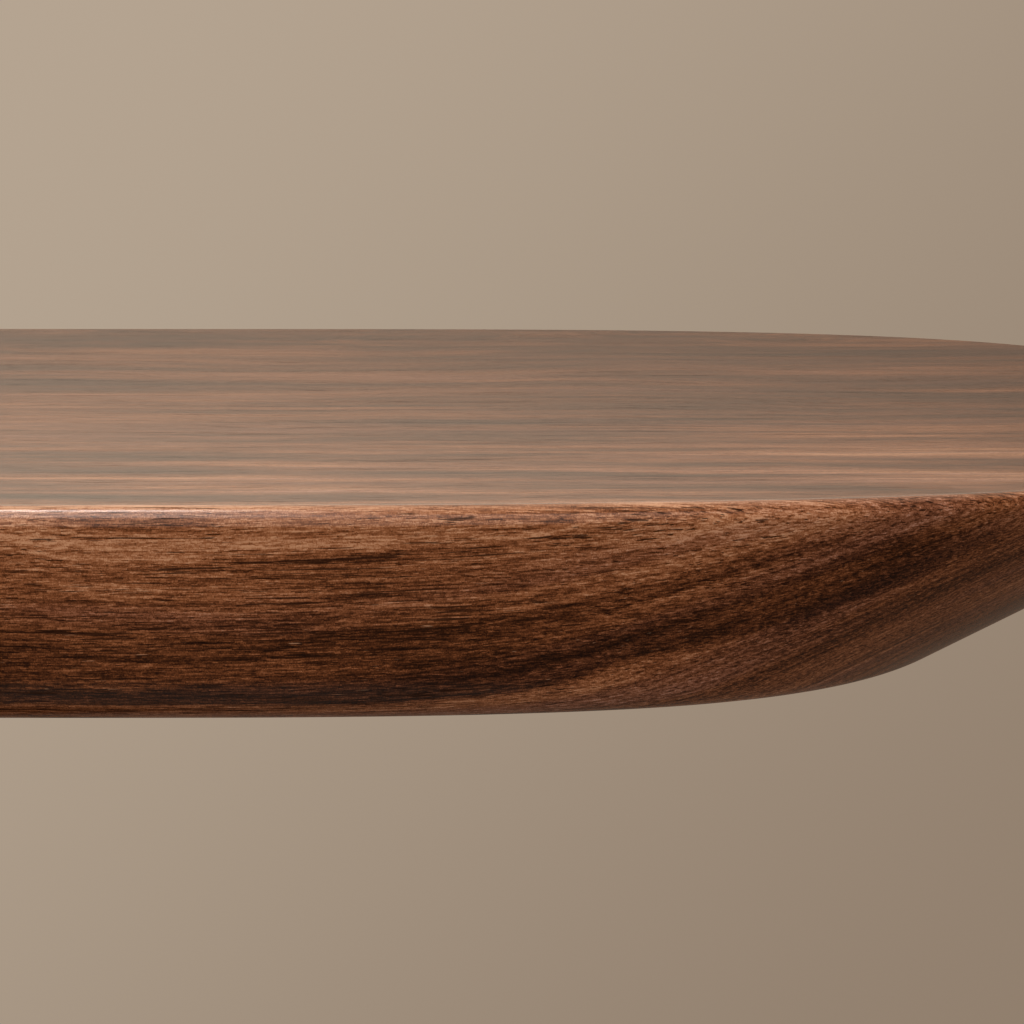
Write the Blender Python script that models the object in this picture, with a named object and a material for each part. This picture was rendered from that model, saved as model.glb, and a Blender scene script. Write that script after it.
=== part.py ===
"""Curved console table: a hull-shaped walnut top on two coopered, C-shaped legs with levelling feet.

Lengths are in metres. The floor is Z = 0, X runs along the table and the front edge faces -Y.
"""
import math

import bmesh
import bpy
from mathutils import Vector

# The table as a whole
TABLE_HEIGHT = 0.760
TOP_LENGTH = 1.500
TOP_DEPTH = 0.360
TOP_THICKNESS = 0.036

# The ends of the top: the upper outline is blunt and round, the underside stops short of it
END_REACH = 0.262
END_SQUARENESS = 3.32
UNDERSIDE_SQUARENESS = 3.80
END_RAKE = 0.082
SIDE_UNDERCUT = 0.005
ARRIS_EASE = 0.0035
LOWER_EDGE_RADIUS = 0.010
END_STEPS = 26

# The legs, each a half-round shell of glued staves that is open towards the middle of the table
LEG_OVERHANG = 0.325
LEG_REACH = 0.175
LEG_INSET = 0.044
LEG_SQUARENESS = 2.4
STAVE_COUNT = 9
STAVE_THICKNESS = 0.026
STAVE_STEPS = 6
FREE_EDGE_RADIUS = 0.009

# The two plates glued inside each leg
PLATE_SETBACK = 0.014
CAP_THICKNESS = 0.024
BASE_THICKNESS = 0.024

# The bolts that hold the top down: a slotted hole lets the wide top swell and shrink
BOLT_RADIUS = 0.003
BOLT_ENGAGEMENT = 0.013
BOLT_HEAD_LIP = 0.0025
BOLT_HEAD_HEIGHT = 0.0042
HEX_KEY_RADIUS = 0.0023
HEX_KEY_DEPTH = 0.0024
SLOT_TRAVEL = 0.003
WASHER_WIDTH = 0.0066
WASHER_THICKNESS = 0.0016
INSERT_WALL = 0.0016
INSERT_LENGTH = 0.014
INSERT_RIM_WIDTH = 0.0016
INSERT_RIM_THICKNESS = 0.0012
INSERT_HOLE_SPARE = 0.004
BOLT_FROM_OPENING = 0.044
BOLT_FROM_APEX = 0.036
BOLT_FROM_SIDE = 0.042

# The levelling feet and the nuts they screw into
FOOT_HEIGHT = 0.008
FOOT_RADIUS = 0.015
FOOT_EDGE = 0.0015
STEM_RADIUS = 0.004
STEM_LENGTH = 0.036
NUT_WALL = 0.0011
NUT_BARREL_LENGTH = 0.012
NUT_FLANGE_WIDTH = 0.005
NUT_FLANGE_THICKNESS = 0.0015
FOOT_FROM_OPENING = 0.036
FOOT_FROM_APEX = 0.022
FOOT_FROM_SIDE = 0.030

# Clearances
SEAT_GAP = 0.0003
GLUE_GAP = 0.0003
HOLE_GAP = 0.0004

TURNED_SEGMENTS = 20

# Sizes that follow from the ones above
underside = TABLE_HEIGHT - TOP_THICKNESS
leg_top = underside - SEAT_GAP
leg_origin = TOP_LENGTH / 2 - LEG_OVERHANG - LEG_REACH
leg_half_width = TOP_DEPTH / 2 - LEG_INSET
bolt_hole = BOLT_RADIUS + HOLE_GAP
bolt_head_radius = BOLT_RADIUS + BOLT_HEAD_LIP
washer_radius = bolt_hole + WASHER_WIDTH
insert_radius = bolt_hole + INSERT_WALL
insert_rim_radius = insert_radius + INSERT_RIM_WIDTH
stem_hole = STEM_RADIUS + HOLE_GAP
nut_barrel_radius = stem_hole + NUT_WALL
nut_flange_radius = nut_barrel_radius + NUT_FLANGE_WIDTH


def remove_everything():
    for item in list(bpy.data.objects):
        bpy.data.objects.remove(item, do_unlink=True)


def material(name, colour, roughness, metallic=0.0):
    mat = bpy.data.materials.new(name)
    mat.use_nodes = True
    shader = mat.node_tree.nodes["Principled BSDF"]
    shader.inputs["Base Color"].default_value = (*colour, 1.0)
    shader.inputs["Roughness"].default_value = roughness
    shader.inputs["Metallic"].default_value = metallic
    mat.diffuse_color = (*colour, 1.0)
    return mat


def to_mesh(name, bm):
    """A finished mesh with its faces turned outwards, smooth across gentle angles only."""
    bmesh.ops.recalc_face_normals(bm, faces=bm.faces)
    mesh = bpy.data.meshes.new(name)
    bm.to_mesh(mesh)
    bm.free()
    mesh.shade_smooth()
    mesh.set_sharp_from_angle(angle=math.radians(35))
    return mesh


def place(name, mesh, mat, parent, location=(0.0, 0.0, 0.0)):
    item = bpy.data.objects.new(name, mesh)
    item.data.materials.clear()
    item.data.materials.append(mat)
    item.parent = parent
    item.location = location
    bpy.context.scene.collection.objects.link(item)
    return item


def empty(name, parent=None, location=(0.0, 0.0, 0.0), turn=0.0):
    item = bpy.data.objects.new(name, None)
    item.parent = parent
    item.location = location
    item.rotation_euler = (0.0, 0.0, turn)
    bpy.context.scene.collection.objects.link(item)
    return item


def cut(target, cutters):
    """Takes every body of the cutter mesh out of the target."""
    tool = bpy.data.objects.new(target.name + "_cutter", cutters)
    tool.parent = target.parent
    tool.location = target.location
    tool.hide_render = True
    tool.display_type = "WIRE"
    bpy.context.scene.collection.objects.link(tool)
    modifier = target.modifiers.new("holes", "BOOLEAN")
    modifier.operation = "DIFFERENCE"
    modifier.solver = "EXACT"
    modifier.object = tool


def add_prism(bm, outline, low, high):
    """An upright prism over a closed (x, y) outline."""
    floor = bm.faces.new([bm.verts.new((x, y, low)) for x, y in outline])
    lid = bmesh.ops.extrude_face_region(bm, geom=[floor])
    raised = [part for part in lid["geom"] if isinstance(part, bmesh.types.BMVert)]
    bmesh.ops.translate(bm, verts=raised, vec=(0.0, 0.0, high - low))


def add_turned(bm, profile, centre=(0.0, 0.0, 0.0), ring=False):
    """A turned solid from an (r, z) profile, which runs back to its start where the piece is a ring."""
    verts = [bm.verts.new(Vector((r, 0.0, z)) + Vector(centre)) for r, z in profile]
    pairs = list(zip(verts, verts[1:]))
    if ring:
        pairs.append((verts[-1], verts[0]))
    edges = [bm.edges.new(pair) for pair in pairs]
    before = set(bm.verts) - set(verts)
    bmesh.ops.spin(bm, geom=verts + edges, cent=centre, axis=(0.0, 0.0, 1.0),
                   angle=math.tau, steps=TURNED_SEGMENTS, use_merge=True)
    made = [vert for vert in bm.verts if vert not in before]
    bmesh.ops.remove_doubles(bm, verts=made, dist=0.00001)


def polygon(centre, radius, sides):
    turns = [math.tau * k / sides for k in range(sides)]
    return [(centre[0] + radius * math.cos(a), centre[1] + radius * math.sin(a)) for a in turns]


def slot_outline(centre, radius, travel, steps=8):
    """A round-ended slot that runs along Y."""
    points = []
    for end in (1, -1):
        for k in range(steps + 1):
            angle = math.pi * k / steps + (0.0 if end > 0 else math.pi)
            x = centre[0] + radius * math.cos(angle)
            points.append((x, centre[1] + end * travel + radius * math.sin(angle)))
    return points


def rounded_corner(before, corner, after, radius, steps=5):
    """The arc that rounds one corner of an outline."""
    to_before = (Vector(before) - Vector(corner)).normalized()
    to_after = (Vector(after) - Vector(corner)).normalized()
    half = to_before.angle(to_after) / 2
    centre = Vector(corner) + (to_before + to_after).normalized() * (radius / math.sin(half))
    start = Vector(corner) + to_before * (radius / math.tan(half)) - centre
    sweep = math.pi - 2 * half
    if to_before.x * to_after.y - to_before.y * to_after.x > 0:
        sweep = -sweep
    arc = []
    for k in range(steps + 1):
        turn = sweep * k / steps
        x = start.x * math.cos(turn) - start.y * math.sin(turn)
        y = start.x * math.sin(turn) + start.y * math.cos(turn)
        arc.append((centre.x + x, centre.y + y))
    return arc


def blunt_point(reach, half_width, squareness, angle):
    """A quarter of a superellipse: angle 0 is on its long side and a right angle is at its tip."""
    power = 2.0 / squareness
    x = reach * max(math.sin(angle), 0.0) ** power
    y = half_width * max(math.cos(angle), 0.0) ** power
    return Vector((x, y))


def blunt_normal(reach, half_width, squareness, angle):
    """The direction that the quarter superellipse faces at the same angle."""
    power = 2.0 - 2.0 / squareness
    x = max(math.sin(angle), 0.0) ** power / reach
    y = max(math.cos(angle), 0.0) ** power / half_width
    return Vector((x, y)).normalized()


def blunt_angle(reach, half_width, squareness, normal):
    """The angle at which the quarter superellipse faces a given direction."""
    power = squareness / (2.0 * squareness - 2.0)
    return math.atan2((reach * normal.x) ** power, (half_width * normal.y) ** power)


def eased_edge(corner, ease, heading, turn, steps):
    """An arc in the section's (out, up) plane that leaves its corner's two faces at the ease distance."""
    radius = ease / math.tan(turn / 2)
    start_x = corner[0] - ease * math.cos(heading)
    start_y = corner[1] - ease * math.sin(heading)
    centre_x = start_x - radius * math.sin(heading)
    centre_y = start_y + radius * math.cos(heading)
    arc = []
    for k in range(steps + 1):
        angle = heading + turn * k / steps
        arc.append((centre_x + radius * math.sin(angle), centre_y - radius * math.cos(angle)))
    return arc


def top_section(run):
    """The edge of the top from its underside to its upper face, for a bevel that runs out this far."""
    slope = math.atan2(TOP_THICKNESS, run)
    lower_ease = LOWER_EDGE_RADIUS * math.tan(slope / 2)
    lower = eased_edge((0.0, -TOP_THICKNESS), lower_ease, 0.0, slope, 4)
    upper = eased_edge((run, 0.0), ARRIS_EASE, slope, math.pi - slope, 4)
    return lower + upper


def edge_ring(angle):
    """The edge of the top at one place in a quarter of its outline, from its underside to its upper face.

    The bevel is a face that could be bent from a flat sheet: each of its straight lines joins the two
    places at which the upper and the lower outline face the same way.
    """
    upper_size = (END_REACH, TOP_DEPTH / 2, END_SQUARENESS)
    lower_size = (END_REACH - END_RAKE, TOP_DEPTH / 2 - SIDE_UNDERCUT, UNDERSIDE_SQUARENESS)
    facing = blunt_normal(*upper_size, angle)
    upper = blunt_point(*upper_size, angle)
    lower = blunt_point(*lower_size, blunt_angle(*lower_size, facing))
    along = Vector((facing.y, -facing.x))
    drift = along * (upper - lower).dot(along)
    ring = []
    for out, up in top_section((upper - lower).dot(facing)):
        spot = lower + facing * out + drift * (1.0 + up / TOP_THICKNESS)
        ring.append((spot.x, spot.y, up))
    return ring


def top_mesh():
    straight = TOP_LENGTH / 2 - END_REACH
    quarter = [edge_ring(math.pi / 2 * k / END_STEPS) for k in range(END_STEPS + 1)]
    bm = bmesh.new()
    rings = []
    for side_x, side_y in ((1, -1), (1, 1), (-1, 1), (-1, -1)):
        starts_at_tip = side_x * side_y > 0
        for ring in quarter[-2::-1] if starts_at_tip else quarter:
            rings.append([bm.verts.new((side_x * (straight + x), side_y * y, z)) for x, y, z in ring])
    for ring, following in zip(rings, rings[1:] + rings[:1]):
        for k in range(len(ring) - 1):
            bm.faces.new((ring[k], following[k], following[k + 1], ring[k + 1]))
    bm.faces.new([ring[0] for ring in rings])
    bm.faces.new([ring[-1] for ring in rings])
    return to_mesh("top", bm)


def leg_curve(samples=240):
    """The outside of a leg in plan, from its -Y to its +Y edge, and the distance reached at each point."""
    rough = []
    for k in range(-samples, samples + 1):
        angle = math.pi / 2 * (1 - abs(k) / samples)
        spot = blunt_point(LEG_REACH, leg_half_width, LEG_SQUARENESS, angle)
        rough.append(Vector((spot.x, math.copysign(spot.y, k))))
    reached = [0.0]
    for here, there in zip(rough, rough[1:]):
        reached.append(reached[-1] + (there - here).length)
    return rough, reached


def on_leg(curve, distance):
    """The point and the outward normal at one distance along the outside of a leg."""
    rough, reached = curve
    distance = min(max(distance, 0.0), reached[-1])
    k = 0
    while k < len(rough) - 2 and reached[k + 1] < distance:
        k += 1
    share = (distance - reached[k]) / (reached[k + 1] - reached[k])
    along = (rough[k + 1] - rough[k]).normalized()
    return rough[k].lerp(rough[k + 1], share), Vector((along.y, -along.x))


def stave_outlines(curve):
    """Each stave in plan: a fair curve outside, a flat face inside and joints square to the curve."""
    width = curve[1][-1] / STAVE_COUNT
    outlines = []
    for n in range(STAVE_COUNT):
        first = n == 0
        last = n == STAVE_COUNT - 1
        start = n * width + (0.0 if first else GLUE_GAP / 2)
        end = (n + 1) * width - (0.0 if last else GLUE_GAP / 2)
        outer_start = on_leg(curve, start)[0]
        outer_end = on_leg(curve, end)[0]
        inner_start = outer_start - on_leg(curve, n * width)[1] * STAVE_THICKNESS
        inner_end = outer_end - on_leg(curve, (n + 1) * width)[1] * STAVE_THICKNESS
        fair_start = start + (FREE_EDGE_RADIUS if first else 0.0)
        fair_end = end - (FREE_EDGE_RADIUS if last else 0.0)
        fair = []
        for k in range(STAVE_STEPS + 1):
            fair.append(on_leg(curve, fair_start + (fair_end - fair_start) * k / STAVE_STEPS)[0])
        if first:
            outline = rounded_corner(inner_start, outer_start, fair[0], FREE_EDGE_RADIUS) + fair[1:]
            outline += [inner_end] + rounded_corner(inner_end, inner_start, outer_start, FREE_EDGE_RADIUS)
        elif last:
            outline = fair[:-1] + rounded_corner(fair[-1], outer_end, inner_end, FREE_EDGE_RADIUS)
            outline += rounded_corner(outer_end, inner_end, inner_start, FREE_EDGE_RADIUS) + [inner_start]
        else:
            outline = fair + [inner_end, inner_start]
        outlines.append(outline)
    return outlines


def plate_outline(curve):
    """The flat-sided space inside a leg, less a clearance, cut off square inside the opening."""
    width = curve[1][-1] / STAVE_COUNT
    corners = []
    for n in range(STAVE_COUNT + 1):
        spot, normal = on_leg(curve, n * width)
        corners.append(spot - normal * (STAVE_THICKNESS + GLUE_GAP))
    outline = []
    for here, there in zip(corners, corners[1:] + corners[:1]):
        if here.x >= PLATE_SETBACK:
            outline.append(here)
        if (here.x - PLATE_SETBACK) * (there.x - PLATE_SETBACK) < 0:
            outline.append(here.lerp(there, (PLATE_SETBACK - here.x) / (there.x - here.x)))
    return outline


def three_spots(from_opening, from_apex, from_side):
    """Three places inside a leg: near its apex, and near its opening on either side."""
    apex = LEG_REACH - STAVE_THICKNESS - from_apex
    side = leg_half_width - STAVE_THICKNESS - from_side
    return {"outer": (apex, 0.0), "low_y": (from_opening, -side), "high_y": (from_opening, side)}


def bolt_mesh():
    shank = CAP_THICKNESS + WASHER_THICKNESS + 3 * SEAT_GAP + BOLT_ENGAGEMENT
    dome = BOLT_HEAD_HEIGHT * 0.45
    profile = [(0.0, -BOLT_HEAD_HEIGHT), (bolt_head_radius * 0.62, -BOLT_HEAD_HEIGHT)]
    profile += [(bolt_head_radius, -dome), (bolt_head_radius, 0.0), (BOLT_RADIUS, 0.0)]
    profile += [(BOLT_RADIUS, shank - BOLT_RADIUS / 3), (BOLT_RADIUS * 0.7, shank), (0.0, shank)]
    bm = bmesh.new()
    add_turned(bm, profile)
    return to_mesh("bolt", bm)


def hex_key_mesh():
    bm = bmesh.new()
    add_prism(bm, polygon((0.0, 0.0), HEX_KEY_RADIUS, 6),
              -2 * BOLT_HEAD_HEIGHT, HEX_KEY_DEPTH - BOLT_HEAD_HEIGHT)
    return to_mesh("hex_key", bm)


def washer_mesh():
    profile = [(washer_radius, 0.0), (washer_radius, WASHER_THICKNESS)]
    profile += [(bolt_hole, WASHER_THICKNESS), (bolt_hole, 0.0)]
    bm = bmesh.new()
    add_turned(bm, profile, ring=True)
    return to_mesh("washer", bm)


def insert_mesh():
    """A threaded sleeve with a rim at its mouth, which lies flush with the underside of the top."""
    profile = [(insert_rim_radius, 0.0), (insert_rim_radius, INSERT_RIM_THICKNESS)]
    profile += [(insert_radius, INSERT_RIM_THICKNESS), (insert_radius, INSERT_LENGTH)]
    profile += [(bolt_hole, INSERT_LENGTH), (bolt_hole, 0.0)]
    bm = bmesh.new()
    add_turned(bm, profile, ring=True)
    return to_mesh("insert", bm)


def insert_hole_mesh(spots):
    """Stepped blind holes in the underside of the top."""
    depth = max(INSERT_LENGTH, BOLT_ENGAGEMENT) + INSERT_HOLE_SPARE
    rim = insert_rim_radius + SEAT_GAP
    sleeve = insert_radius + SEAT_GAP
    shoulder = INSERT_RIM_THICKNESS + SEAT_GAP
    mouth = -INSERT_LENGTH / 2
    profile = [(0.0, mouth), (rim, mouth), (rim, shoulder)]
    profile += [(sleeve, shoulder), (sleeve, depth), (0.0, depth)]
    bm = bmesh.new()
    for x, y in spots:
        add_turned(bm, profile, centre=(x, y, -TOP_THICKNESS))
    return to_mesh("insert_holes", bm)


def nut_mesh():
    """A tee nut: its flange lies on the base plate and its barrel reaches down into it."""
    profile = [(stem_hole, -NUT_BARREL_LENGTH), (nut_barrel_radius, -NUT_BARREL_LENGTH)]
    profile += [(nut_barrel_radius, 0.0), (nut_flange_radius, 0.0)]
    profile += [(nut_flange_radius, NUT_FLANGE_THICKNESS), (stem_hole, NUT_FLANGE_THICKNESS)]
    bm = bmesh.new()
    add_turned(bm, profile, ring=True)
    return to_mesh("tee_nut", bm)


def foot_mesh():
    """A round pad with a stem: its origin is on the floor, on the axis that it slides along."""
    pad = FOOT_HEIGHT - SEAT_GAP
    tip = pad + STEM_LENGTH
    profile = [(0.0, 0.0), (FOOT_RADIUS - FOOT_EDGE, 0.0), (FOOT_RADIUS, FOOT_EDGE)]
    profile += [(FOOT_RADIUS, pad - FOOT_EDGE), (FOOT_RADIUS - FOOT_EDGE, pad), (STEM_RADIUS, pad)]
    profile += [(STEM_RADIUS, tip - STEM_RADIUS / 3), (STEM_RADIUS * 0.7, tip), (0.0, tip)]
    bm = bmesh.new()
    add_turned(bm, profile)
    return to_mesh("foot", bm)


def prism_mesh(name, outline, height):
    bm = bmesh.new()
    add_prism(bm, outline, 0.0, height)
    return to_mesh(name, bm)


def slot_cutters(spots, height):
    bm = bmesh.new()
    for spot in spots:
        add_prism(bm, slot_outline(spot, bolt_hole, SLOT_TRAVEL), -height, 2 * height)
    return to_mesh("bolt_slots", bm)


def nut_hole_cutters(spots):
    bm = bmesh.new()
    for spot in spots:
        add_prism(bm, polygon(spot, nut_barrel_radius + SEAT_GAP, TURNED_SEGMENTS),
                  -BASE_THICKNESS, 2 * BASE_THICKNESS)
    return to_mesh("nut_holes", bm)


def build():
    remove_everything()
    walnut = material("walnut", (0.105, 0.046, 0.022), 0.42)
    leg_walnut = material("leg_walnut", (0.098, 0.043, 0.021), 0.46)
    plywood = material("veneered_plywood", (0.092, 0.041, 0.020), 0.5)
    steel = material("zinc_plated_steel", (0.55, 0.55, 0.54), 0.34, 1.0)
    brass = material("brass", (0.60, 0.44, 0.18), 0.32, 1.0)
    nylon = material("black_nylon", (0.018, 0.018, 0.019), 0.5)

    table = empty("console_table")
    bolts = three_spots(BOLT_FROM_OPENING, BOLT_FROM_APEX, BOLT_FROM_SIDE)
    feet = three_spots(FOOT_FROM_OPENING, FOOT_FROM_APEX, FOOT_FROM_SIDE)
    curve = leg_curve()
    staves = stave_outlines(curve)
    plate = plate_outline(curve)

    top = place("top", top_mesh(), walnut, table, (0.0, 0.0, TABLE_HEIGHT))
    mirrored = [(side * (leg_origin + x), side * y) for side in (1, -1) for x, y in bolts.values()]
    cut(top, insert_hole_mesh(mirrored))

    bolt_key = hex_key_mesh()
    for side, sign in (("right", 1), ("left", -1)):
        leg = empty(side + "_leg", table, (sign * leg_origin, 0.0, 0.0), 0.0 if sign > 0 else math.pi)
        for n, outline in enumerate(staves):
            name = f"{side}_leg_stave_{n + 1}"
            stave = prism_mesh(name, outline, leg_top - FOOT_HEIGHT)
            place(name, stave, leg_walnut, leg, (0.0, 0.0, FOOT_HEIGHT))

        cap_floor = leg_top - CAP_THICKNESS
        cap = place(side + "_leg_cap", prism_mesh("leg_cap", plate, CAP_THICKNESS), plywood, leg,
                    (0.0, 0.0, cap_floor))
        cut(cap, slot_cutters(bolts.values(), CAP_THICKNESS))
        base = place(side + "_leg_base", prism_mesh("leg_base", plate, BASE_THICKNESS), plywood, leg,
                     (0.0, 0.0, FOOT_HEIGHT))
        cut(base, nut_hole_cutters(feet.values()))

        where = {"outer": "outer", "low_y": "front", "high_y": "back"}
        if sign < 0:
            where = {"outer": "outer", "low_y": "back", "high_y": "front"}
        for spot, (x, y) in bolts.items():
            label = f"{side}_{where[spot]}"
            washer_floor = cap_floor - SEAT_GAP - WASHER_THICKNESS
            place(label + "_washer", washer_mesh(), steel, leg, (x, y, washer_floor))
            bolt = place(label + "_bolt", bolt_mesh(), steel, leg, (x, y, washer_floor - SEAT_GAP))
            cut(bolt, bolt_key)
            place(label + "_insert", insert_mesh(), brass, leg, (x, y, underside))
        nut_floor = FOOT_HEIGHT + BASE_THICKNESS + SEAT_GAP
        for spot, (x, y) in feet.items():
            label = f"{side}_{where[spot]}"
            place(label + "_tee_nut", nut_mesh(), steel, leg, (x, y, nut_floor))
            place(label + "_foot", foot_mesh(), nylon, leg, (x, y, 0.0))


build()
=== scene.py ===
# %% [markdown]
# # A curved walnut console table
#
# This lesson dresses a finished table model. The model gives exact places and sizes; here every
# piece gets the surface that a hand or an eye would meet. The table is a thick slab of walnut with
# blunt ends that rake under like the bow of a boat, on two half-round legs made of glued staves.

import bisect
import math
from typing import NamedTuple

import bmesh
import bpy
from mathutils import Matrix, Vector


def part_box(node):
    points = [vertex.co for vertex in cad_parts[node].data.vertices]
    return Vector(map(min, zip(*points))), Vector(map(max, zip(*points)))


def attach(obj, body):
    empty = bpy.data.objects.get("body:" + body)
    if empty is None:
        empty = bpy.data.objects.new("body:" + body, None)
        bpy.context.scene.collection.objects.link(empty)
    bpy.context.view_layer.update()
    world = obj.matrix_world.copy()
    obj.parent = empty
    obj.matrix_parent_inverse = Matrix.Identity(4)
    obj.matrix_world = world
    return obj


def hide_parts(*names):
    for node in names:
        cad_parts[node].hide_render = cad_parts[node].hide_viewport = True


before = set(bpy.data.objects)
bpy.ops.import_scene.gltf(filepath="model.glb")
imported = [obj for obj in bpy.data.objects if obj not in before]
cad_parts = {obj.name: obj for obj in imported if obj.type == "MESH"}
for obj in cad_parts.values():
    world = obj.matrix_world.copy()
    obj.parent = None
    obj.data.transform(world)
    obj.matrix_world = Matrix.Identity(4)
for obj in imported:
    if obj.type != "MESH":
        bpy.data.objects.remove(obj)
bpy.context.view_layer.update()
print("nodes in the frame:", len(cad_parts))

# %% [markdown]
# ## Writing shader maths as sums
#
# A wood grain needs dozens of Math nodes. Adding them one by one hides the idea behind the wiring,
# so a small class wraps a node's output and lets Python's own operators add the nodes. A second
# class holds one node tree and has a single method that makes any other node: settings are set
# before sockets, because some settings change which sockets exist.


# %% Sockets that can be added and multiplied
class Wire:
    """One output of a node."""

    def __init__(self, finish, socket):
        self.finish = finish
        self.socket = socket

    def __add__(self, other):
        return self.finish.math("ADD", self, other)

    def __radd__(self, other):
        return self.finish.math("ADD", other, self)

    def __sub__(self, other):
        return self.finish.math("SUBTRACT", self, other)

    def __rsub__(self, other):
        return self.finish.math("SUBTRACT", other, self)

    def __mul__(self, other):
        return self.finish.math("MULTIPLY", self, other)

    def __rmul__(self, other):
        return self.finish.math("MULTIPLY", other, self)

    def __pow__(self, power):
        return self.finish.math("POWER", self, power)

    def __rpow__(self, base):
        return self.finish.math("POWER", base, self)


print("operators that add nodes: + - * **")


# %% A node tree under construction
class Finish:
    """The nodes of a material or of the world."""

    def __init__(self, tree):
        self.tree = tree
        tree.nodes.clear()

    def node(self, kind, settings=None, sockets=None, output=0):
        made = self.tree.nodes.new(kind)
        for key, value in (settings or {}).items():
            if key == "stops":
                while len(made.color_ramp.elements) < len(value):
                    made.color_ramp.elements.new(0.5)
                for stop, (place, colour) in zip(made.color_ramp.elements, value):
                    stop.position = place
                    stop.color = (*colour, 1.0)
            else:
                setattr(made, key, value)
        for key, value in (sockets or {}).items():
            if isinstance(value, Wire):
                self.tree.links.new(value.socket, made.inputs[key])
            else:
                made.inputs[key].default_value = value
        return Wire(self, made.outputs[output]) if made.outputs else None

    def math(self, operation, first, second=0.0):
        return self.node("ShaderNodeMath", {"operation": operation}, {0: first, 1: second})

    def vector(self, x, y, z):
        return self.node("ShaderNodeCombineXYZ", None, {0: x, 1: y, 2: z})

    def parts(self, vector):
        split = self.node("ShaderNodeSeparateXYZ", None, {0: vector})
        return [Wire(self, out) for out in split.socket.node.outputs]

    def noise(self, vector, detail=2.0, roughness=0.5):
        """Smooth noise about zero, mostly between -0.3 and 0.3, with one wave per unit of space."""
        sockets = {"Vector": vector, "Scale": 1.0, "Detail": detail, "Roughness": roughness}
        return self.node("ShaderNodeTexNoise", None, sockets) - 0.5

    def cells(self, vector):
        """A value from 0 to 1 for each unit cube of space, with no likeness to its neighbours."""
        corner = self.node("ShaderNodeVectorMath", {"operation": "FLOOR"}, {0: vector})
        return self.node("ShaderNodeTexWhiteNoise", None, {"Vector": corner})

    def between(self, value, low, high):
        """0 below low, 1 above high, and a smooth step from one to the other."""
        sockets = {0: value, 1: low, 2: high, 3: 0.0, 4: 1.0}
        return self.node("ShaderNodeMapRange", {"interpolation_type": "SMOOTHSTEP"}, sockets)

    def mix(self, share, first, second, blend="MIX"):
        settings = {"data_type": "RGBA", "blend_type": blend}
        return self.node("ShaderNodeMix", settings, {0: share, 6: first, 7: second}, 2)


def new_material(name):
    material = bpy.data.materials.new(name)
    material.use_nodes = True
    return material, Finish(material.node_tree)


print("node helpers ready")

# %% [markdown]
# ## The grain of the wood
#
# Walnut grain could be painted on each face, but a slab with curved, raked ends is cut through in
# every direction, and its lines have to agree round every corner. So the grain is solid: a function
# of the point inside the trunk. Growth layers are shells round the heart of the trunk, pigment
# gathers in some of them, fibres and pores run along the trunk, and whatever surface is cut
# through shows the right pattern by itself: long lines along the grain, short ticks across it.
#
# All noise is read in metres times a number, so each of these numbers is a count of waves per metre:
# few along the trunk and many across it give a long, thin mark.

# %% Colours of walnut
WALNUT_TONES = [
    (0.00, (0.012, 0.0044, 0.0024)),
    (0.20, (0.033, 0.0101, 0.0037)),
    (0.38, (0.080, 0.0244, 0.0081)),
    (0.54, (0.160, 0.0520, 0.0184)),
    (0.72, (0.280, 0.1055, 0.0440)),
    (0.95, (0.470, 0.2350, 0.1280)),
]
PORE_BROWN = (0.017, 0.0062, 0.0032, 1.0)
PLUM_TINT = (0.84, 0.90, 1.28, 1.0)
FLECK_TAN = (0.460, 0.250, 0.145, 1.0)
print("walnut tones:", len(WALNUT_TONES))


# %% A plank and its place in the trunk
class Band(NamedTuple):
    """Growth layers with more pigment than others, or with less where the strength is below zero."""

    low: float
    high: float
    soft_low: float
    soft_high: float
    strength: float
    spread: float = 0.0


class Plank(NamedTuple):
    """Where a piece lay in its trunk, whose centre passes the piece at heart.

    trunk is the radius there, lean how fast layers climb along the piece, sway how far they bend,
    tone how pale it is, roof the height of its upper face, and the last field the streaks of that
    face together with painted light and shade on it.
    """

    heart: tuple
    trunk: float
    lean: float = 0.0
    sway: float = 0.0012
    tone: float = 0.0
    seed: float = 0.0
    bands: tuple = ()
    roof: float = 0.0
    streaks_and_painted_light: object = None


print("a plank is described by:", ", ".join(Plank._fields))

# %% Growth layers
RIPPLES_PER_METRE = 46.0
RIPPLE_IN_DEPTH = 0.0010
RIPPLE_IN_GIRTH = 0.0014
BEND_IN_GIRTH = 0.010
NOISE_TO_FULL_SWING = 4.0
LAYER_WANDER = 0.24


def growth(f, point, plank):
    """The radius of the growth layer that a point lies in, and the point's place round the trunk."""
    along, side, up = point
    seed = plank.seed
    bend = f.noise(f.vector(along * 3.0 + seed, side * 6.0, up * 6.0), 2.0)
    ripple = f.noise(f.vector(along * RIPPLES_PER_METRE + seed, side * 70.0, up * 70.0), 2.0)
    wander = f.noise(f.vector(along * 8.0 + seed, side * 9.0, up * 9.0), 2.0)
    from_side = side - plank.heart[0]
    from_up = up - plank.heart[1]
    radius = (from_side * from_side + from_up * from_up) ** 0.5
    layer = radius + along * plank.lean + bend * (plank.sway * NOISE_TO_FULL_SWING)
    layer = layer + ripple * RIPPLE_IN_DEPTH
    layer = layer + wander * (plank.trunk - radius) * LAYER_WANDER
    turn = f.math("ARCTAN2", from_up, from_side)
    girth = turn * plank.trunk + bend * BEND_IN_GIRTH + ripple * RIPPLE_IN_GIRTH
    return layer, girth


print("one ripple of the fibres:", round(1000 / RIPPLES_PER_METRE), "mm")

# %% Pigment
MIDDLE_SHADE = 0.490
FINE_LINES_PER_METRE = 1900.0


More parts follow.
